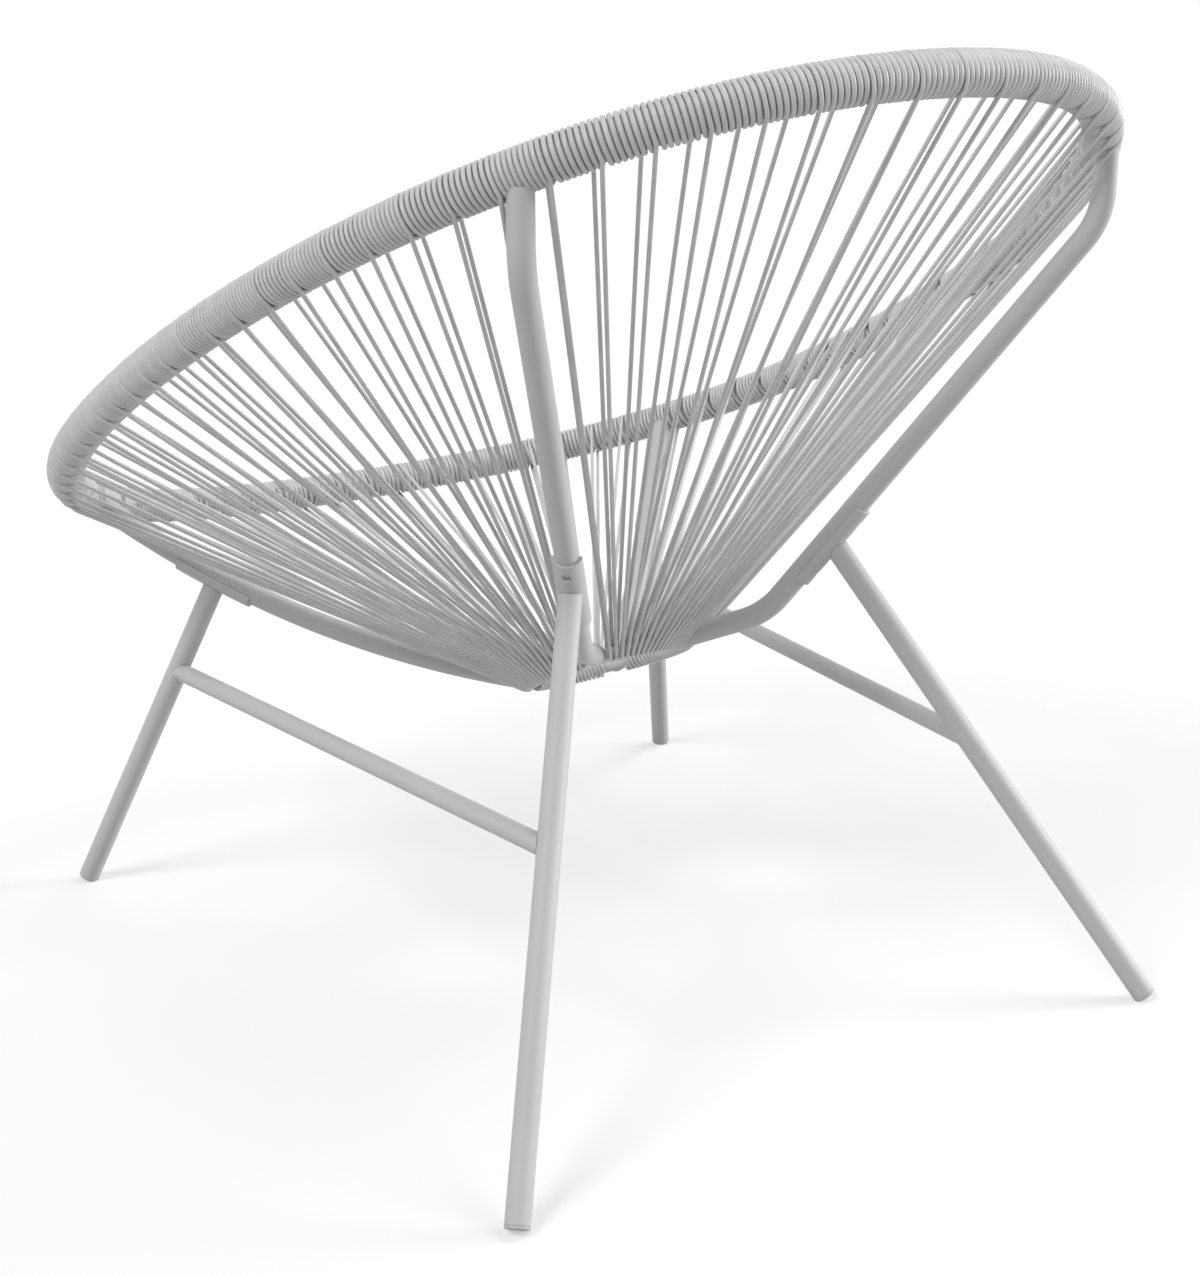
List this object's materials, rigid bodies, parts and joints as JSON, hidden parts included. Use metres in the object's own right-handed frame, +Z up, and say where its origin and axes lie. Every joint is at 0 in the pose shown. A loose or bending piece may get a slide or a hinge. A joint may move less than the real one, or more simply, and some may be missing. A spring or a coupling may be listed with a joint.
{
  "type": "string lounge chair",
  "caption": "Round string lounge chair: tilted oval rim wound with plastic cord, cords laced to a small base ring, bent steel tubes, splayed legs with side stretchers.",
  "frame": {"origin": "on the floor, under the middle of the overall width and depth", "axes": "+Z up, +Y to the back of the chair, +X to the sitter's left; the sitter faces -Y"},
  "size_m": [0.8461, 0.9358, 0.7903],
  "materials": {
    "frame": "light grey powder coat, satin",
    "winding": "light grey round plastic cord, wound",
    "seat_cord": "light grey round plastic cord, laced",
    "plugs": "light grey plastic, satin",
    "screws": "zinc plated"
  },
  "bodies": {
    "root": {"rim_tube": "frame", "base_ring": "frame", "back_left_seat_tube": "frame", "back_left_saddle": "frame", "back_left_screw_1": "screws", "back_left_screw_2": "screws", "back_left_leg": "frame", "back_left_foot_plug": "plugs", "back_right_seat_tube": "frame", "back_right_saddle": "frame", "back_right_screw_1": "screws", "back_right_screw_2": "screws", "back_right_leg": "frame", "back_right_foot_plug": "plugs", "front_left_seat_tube": "frame", "front_left_saddle": "frame", "front_left_screw_1": "screws", "front_left_screw_2": "screws", "front_left_leg": "frame", "front_left_foot_plug": "plugs", "front_right_seat_tube": "frame", "front_right_saddle": "frame", "front_right_screw_1": "screws", "front_right_screw_2": "screws", "front_right_leg": "frame", "front_right_foot_plug": "plugs", "left_stretcher": "frame", "right_stretcher": "frame", "rim_winding_01": "winding", "rim_winding_02": "winding", "rim_winding_03": "winding", "rim_winding_04": "winding", "rim_winding_05": "winding", "rim_winding_06": "winding", "rim_winding_07": "winding", "rim_winding_08": "winding", "rim_winding_09": "winding", "rim_winding_10": "winding", "rim_winding_11": "winding", "seat_cord_01": "seat_cord", "seat_cord_02": "seat_cord", "seat_cord_03": "seat_cord", "seat_cord_04": "seat_cord", "seat_cord_05": "seat_cord", "seat_cord_06": "seat_cord", "seat_cord_07": "seat_cord", "seat_cord_08": "seat_cord", "seat_cord_09": "seat_cord", "seat_cord_10": "seat_cord", "seat_cord_11": "seat_cord"}
  },
  "joints": []
}
